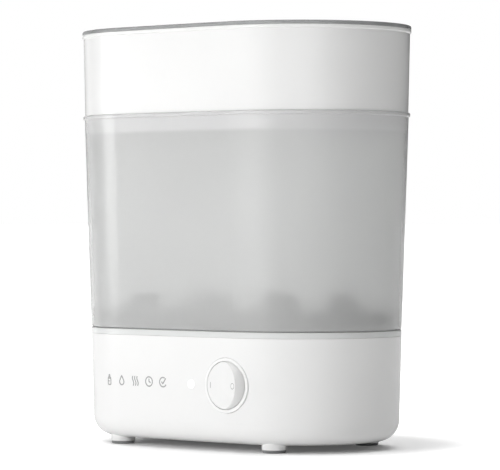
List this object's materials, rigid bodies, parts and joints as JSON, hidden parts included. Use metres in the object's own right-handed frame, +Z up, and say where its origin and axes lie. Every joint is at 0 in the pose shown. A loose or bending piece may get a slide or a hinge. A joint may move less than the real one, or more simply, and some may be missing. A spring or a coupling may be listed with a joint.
{
  "type": "bottle sterilizer",
  "caption": "Free-standing electric steam sterilizer for feeding bottles: heated base with rocker switch, frosted sleeve with peg rack, upper basket and vented lid.",
  "frame": {"origin": "centre of the oval plan, on the surface that the foot pads stand on", "axes": "+Z up, -Y out of the front with the rocker switch, +X to the right seen from the front"},
  "size_m": [0.3086, 0.189, 0.35],
  "materials": {
    "white_shell": "high-gloss moulded",
    "pale_rim": "gloss moulded",
    "frosted_wall": "frosted translucent smoke grey",
    "smoke_lid": "polished translucent smoke grey",
    "white_basket": "high-gloss moulded",
    "grey_rack": "fine satin moulded",
    "tray_plastic": "fine satin moulded",
    "rocker_cap": "gloss moulded with faint pad-printed marks",
    "bezel_ring": "gloss moulded",
    "lens_milky": "milky polished",
    "foot_rubber": "matte moulded",
    "silicone": "matte translucent silicone",
    "gland_rubber": "matte moulded",
    "stainless": "pressed and finely brushed",
    "sheet_aluminium": "mill finish",
    "cast_aluminium": "as cast",
    "element_sheath": "heat-darkened",
    "ceramic_white": "unglazed ceramic",
    "tinned_metal": "tinned brass",
    "screw_steel": "zinc plated",
    "phenolic_black": "matte moulded",
    "board_green": "solder-masked laminate",
    "relay_blue": "matte moulded",
    "capacitor_sleeve": "shrink sleeve",
    "winding_tape": "winding tape",
    "connector_white": "matte moulded",
    "led_clear": "clear epoxy",
    "lead_brown": "insulated lead",
    "lead_blue": "insulated lead",
    "lead_white": "insulated lead"
  },
  "bodies": {
    "base": {"base_housing": "white_shell", "base_rim": "pale_rim", "bottom_cover": "white_shell", "deck_screws": "screw_steel", "cover_screws": "screw_steel", "heating_plate": "stainless", "plate_gasket": "silicone", "heat_spreader": "cast_aluminium", "heating_element": "element_sheath", "element_insulators": "ceramic_white", "element_pins": "tinned_metal", "thermostat": "phenolic_black", "thermostat_bracket": "sheet_aluminium", "bracket_screws": "screw_steel", "thermal_fuse": "tinned_metal", "fuse_clip": "sheet_aluminium", "heat_shield": "sheet_aluminium", "shield_screws": "screw_steel", "shield_grommets": "silicone", "switch_bezel": "bezel_ring", "switch_body": "phenolic_black", "switch_terminals": "tinned_metal", "switch_screws": "screw_steel", "indicator_lens": "lens_milky", "status_led": "led_clear", "led_board": "board_green", "led_board_screws": "screw_steel", "control_board": "board_green", "board_screws": "screw_steel", "relay": "relay_blue", "supply_transformer": "winding_tape", "supply_capacitor": "capacitor_sleeve", "terminal_block": "connector_white", "terminal_screws": "tinned_metal", "power_connector": "connector_white", "signal_connector": "connector_white", "cord_gland": "gland_rubber", "live_lead": "lead_brown", "switched_lead": "lead_brown", "board_neutral_lead": "lead_blue", "heater_lead": "lead_brown", "fuse_lead": "lead_brown", "element_live_lead": "lead_brown", "element_neutral_lead": "lead_blue", "indicator_leads": "lead_white", "foot_pad_front_left": "foot_rubber", "foot_pad_front_right": "foot_rubber", "foot_pad_rear_left": "foot_rubber", "foot_pad_rear_right": "foot_rubber"},
    "switch_rocker": {"rocker": "rocker_cap"},
    "sleeve": {"bottle_basket": "frosted_wall"},
    "rack": {"bottle_rack": "grey_rack"},
    "upper_basket": {"top_basket": "white_basket"},
    "tray": {"teat_tray": "tray_plastic"},
    "cover": {"lid": "smoke_lid", "lid_grip": "smoke_lid"}
  },
  "joints": [
    {"name": "rocker_tilt", "type": "hinge", "parent": "base", "child": "switch_rocker", "pos_m": [0.0556, -0.07886, 0.0547], "axis": [0, 0, 1], "range_deg": [0, 17.5]},
    {"name": "sleeve_lift", "type": "slide", "parent": "base", "child": "sleeve", "axis": [0, 0, 1], "range_m": [0, 0.06]},
    {"name": "rack_lift", "type": "slide", "parent": "sleeve", "child": "rack", "axis": [0, 0, 1], "range_m": [0, 0.1]},
    {"name": "upper_basket_lift", "type": "slide", "parent": "sleeve", "child": "upper_basket", "axis": [0, 0, 1], "range_m": [0, 0.07]},
    {"name": "tray_lift", "type": "slide", "parent": "upper_basket", "child": "tray", "axis": [0, 0, 1], "range_m": [0, 0.02]},
    {"name": "lid_lift", "type": "slide", "parent": "upper_basket", "child": "cover", "axis": [0, 0, 1], "range_m": [0, 0.06]}
  ]
}
